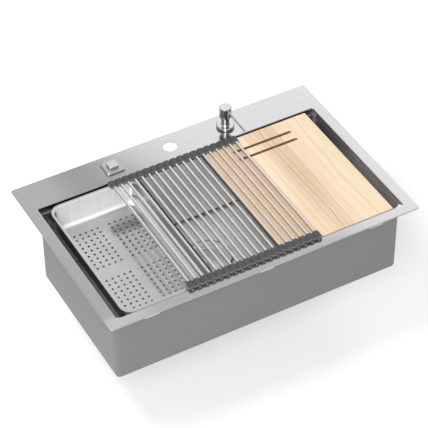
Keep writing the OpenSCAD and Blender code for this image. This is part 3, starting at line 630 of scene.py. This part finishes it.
def stave_coords(tree, coords, from_left):
    """Coordinates in the wood that each stave is cut from."""
    stave = math_node(tree, "FLOOR", math_node(tree, "DIVIDE", from_left, STAVE_WIDTH))
    along_x = product(tree, stave, STAVE_SHIFT)
    shift = add(tree, "CombineXYZ", {0: along_x, 1: stave, 2: stave}).outputs[0]
    return vector_node(tree, "ADD", coords, shift)


def figured_lines(tree, rings, from_left):
    """The deep colour's share in the band of fine brown lines."""
    off_middle = math_node(tree, "SUBTRACT", from_left, FIGURE_MIDDLE)
    off_band = rising(tree, math_node(tree, "ABSOLUTE", off_middle), *FIGURE_FADE)
    figure = grain(tree, rings, FIGURE_LINES, detail=3, roughness=0.7)
    lines = between(tree, figure, 0, FIGURE_STRENGTH, *FIGURE_LEVELS)
    return product(tree, lines, inverse(tree, off_band))


def board_wood():
    """Pale oiled wood: staves glued side by side, each with its own grain along Y."""
    material, tree = new_tree("board_wood")
    shader = shader_of(tree)
    coords = coords_of(tree)
    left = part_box("cutting_board")[0][0]
    from_left = math_node(tree, "SUBTRACT", xyz(tree, coords)["X"], left)
    own = stave_coords(tree, coords, from_left)
    warp = grain(tree, own, WARP, detail=2)
    across = math_node(tree, "MULTIPLY_ADD", warp, RING_WANDER, xyz(tree, own)["X"])
    rings = add(tree, "CombineXYZ", {0: across}).outputs[0]
    broad = rising(tree, grain(tree, own, BROAD_SHADES, detail=1), *BROAD_LEVELS)
    dark_rings = between(
        tree, grain(tree, rings, RINGS, detail=3), 0, RING_STRENGTH, *RING_LEVELS
    )
    pores = grain(tree, own, PORES, detail=3)
    dark_pores = between(tree, pores, 0, PORE_STRENGTH, *PORE_LEVELS)
    colour = mixed(tree, broad, PALE_WOOD, MID_WOOD)
    colour = mixed(tree, dark_rings, colour, DEEP_WOOD)
    colour = mixed(tree, dark_pores, colour, DEEP_WOOD)

    # Painted shadow of the rack's rods on the first stave
    first = product(tree, less_than(tree, from_left, STAVE_WIDTH), RACK_PAINTED_SHADOW_SHARE)
    colour = mixed(tree, first, colour, RACK_PAINTED_SHADOW)
    colour = mixed(tree, figured_lines(tree, rings, from_left), colour, DEEP_WOOD)

    at_left = less_than(tree, from_left, LEFT_FACE_WIDTH)
    # Painted shade on the board's left face
    end_grain_and_painted_shade = mixed(tree, at_left, END_GRAIN, LEFT_FACE_PAINTED_SHADE)
    at_end = falling(tree, xyz(tree, normal_of(tree))["Z"], *END_TURN)
    inputs = {
        "Base Color": mixed(tree, at_end, colour, end_grain_and_painted_shade),
        "Roughness": between(tree, pores, 0.45, 0.6),
    }
    set_inputs(tree, shader, inputs)
    bump(tree, shader, pores, PORE_DEPTH)
    return material


# ---- A material for each CAD node ----


def dress_nodes():
    """Gives each CAD node the material of its own name, or else of its slot in the record."""
    by_slot = {
        "insert_steel": drain_steel(),
        "bracket_steel": brushed_steel(
            "bracket_steel", level=0.55, roughness=0.35, line=BRACKET_GRAIN
        ),
        "bright_metal": polished("bright_metal", level=0.62, roughness=0.1),
        "rubber": moulded("rubber", colour=(0.02, 0.02, 0.022), roughness=0.6),
        # The silicone's upright faces get painted light
        "silicone": moulded(
            "silicone", colour=(0.042, 0.043, 0.046), roughness=0.65, painted_side_light=4.5
        ),
        "plastic": moulded("plastic", colour=(0.78, 0.78, 0.75), roughness=0.4),
        "board_wood": board_wood(),
    }
    rod_steel = polished("rod_steel", level=0.5, roughness=0.16)
    chrome = chrome_with_painted_reflections()
    by_node = {
        "deck_rim": deck_steel(),
        "bowl": bowl_steel(),
        "colander_pan": colander_steel(),
        "colander_floor": pierced_steel(),
        "rack_rods": rod_steel,
        **{f"rack_rod_{i}": rod_steel for i in (1, 2, 3, 4)},
        "control_plate": brushed_steel(
            "plate_steel", level=0.36, roughness=0.36, line=BRUSHING
        ),
        "control_knob": brushed_steel("knob_steel", level=0.44, roughness=0.34, line=BRUSHING),
        "dispenser_base": chrome,
        "pump_head": chrome,
    }
    for entry in frame["record"]["subparts"]:
        name = entry["node"]
        material = by_node.get(name) or by_slot[entry["material_slot"]]
        node = frame["nodes"][name]
        node.data.materials.clear()
        node.data.materials.append(material)


# ---- Edges: the small rounds that catch the light ----

# Widths of the rounds, in metres
EDGE_ROUNDS = {
    "cutting_board": 0.0012,
    "control_plate": 0.0004,
    "control_knob": 0.0006,
    "rack_front_grips": 0.0007,
    "rack_back_grips": 0.0007,
}
ROUND_SEGMENTS = 2
# Only edges that turn by more than this are rounded
SHARP_ANGLE = math.radians(35)
# Corners of the CAD mesh that are closer than this are joined first
WELD_DISTANCE = 1e-6


def round_edges():
    for name, width in EDGE_ROUNDS.items():
        node = frame["nodes"][name]
        weld = node.modifiers.new("weld", "WELD")
        weld.merge_threshold = WELD_DISTANCE
        bevel = node.modifiers.new("bevel", "BEVEL")
        bevel.width = width
        bevel.segments = ROUND_SEGMENTS
        bevel.limit_method = "ANGLE"
        bevel.angle_limit = SHARP_ANGLE
        bevel.harden_normals = True


# ---- Room ----

FLOOR_GAP = 0.002
FLOOR_SIZE = 60.0
FLOOR_LEVEL = rgb(0.85)
# The floor glows this much where it is seen, so that it is white but for the object's shadow
FLOOR_GLOW = 0.35
WORLD_LEVEL = rgb(1.0)
# The world's strength as light on the object, and where it is seen
WORLD_LIGHT = 0.3
WORLD_SEEN = 1.0
# back_right shows in the deck from the tap hole to the right, and back_left at the left end
SOFTBOXES = {
    "back_right": {
        "place": (1.40, 1.28, 1.0),
        "target": (0.22, 0, 0),
        "size": (1.3, 1.9),
        "watts": 11,
        "edge": (0.383, -0.58, 0.05),
    },
    "back_left": {
        "place": (0.0, 1.3, 1.1),
        "target": (-0.4, 0, 0),
        "size": (0.35, 1.2),
        "watts": 0.5,
        "edge": (0, 1, 0),
    },
    "front": {
        "place": (-1.35, -1.95, 1.7),
        "target": (0, 0, 0),
        "size": (1.5, 1.5),
        "watts": 52,
        "edge": (0, 0, 1),
    },
    "upper_left": {
        "place": (-0.95, 0.15, 2.1),
        "target": (0, 0, 0),
        "size": (0.8, 0.8),
        "watts": 31,
        "edge": (0, 1, 0),
    },
}


def seen_directly(tree):
    """1 for a ray from the camera, or one reflected or passed on by the object."""
    path = add(tree, "LightPath").outputs
    seen = math_node(tree, "MAXIMUM", path["Is Camera Ray"], path["Is Glossy Ray"])
    return math_node(tree, "MAXIMUM", seen, path["Is Transmission Ray"])


def add_floor():
    low = cad_box[0][2] - FLOOR_GAP
    bpy.ops.mesh.primitive_plane_add(size=FLOOR_SIZE, location=(0, 0, low))
    floor = bpy.context.object
    floor.name = "floor"
    material, tree = new_tree("floor")
    shader = shader_of(tree)
    inputs = {"Base Color": FLOOR_LEVEL, "Roughness": 1.0, "Specular IOR Level": 0.0}
    set_inputs(tree, shader, inputs)
    glow = add(tree, "Emission", {"Strength": product(tree, seen_directly(tree), FLOOR_GLOW)})
    both = add(tree, "AddShader", {0: shader.outputs[0], 1: glow.outputs[0]})
    set_inputs(tree, node_of(tree, "OUTPUT_MATERIAL"), {"Surface": both.outputs[0]})
    floor.data.materials.append(material)


def add_world():
    world = bpy.data.worlds.new("room")
    bpy.context.scene.world = world
    world.use_nodes = True
    tree = world.node_tree
    strength = between(tree, seen_directly(tree), WORLD_LIGHT, WORLD_SEEN)
    inputs = {"Color": WORLD_LEVEL, "Strength": strength}
    set_inputs(tree, node_of(tree, "BACKGROUND"), inputs)


def add_softbox(name, place, target, size, watts, edge):
    """A rectangular lamp that faces target. Its second side runs along edge."""
    data = bpy.data.lights.new(name, "AREA")
    data.shape = "RECTANGLE"
    data.size, data.size_y = size
    data.energy = watts
    lamp = bpy.data.objects.new(name, data)
    bpy.context.collection.objects.link(lamp)
    away = (Vector(place) - Vector(target)).normalized()
    along = (Vector(edge) - away * away.dot(Vector(edge))).normalized()
    basis = Matrix((along.cross(away), along, away)).transposed()
    lamp.matrix_world = Matrix.Translation(place) @ basis.to_4x4()


def add_room():
    add_floor()
    add_world()
    for name, values in SOFTBOXES.items():
        add_softbox(name, **values)


add_camera()
dress_nodes()
round_edges()
add_room()

bpy.context.scene.view_settings.view_transform = "Standard"
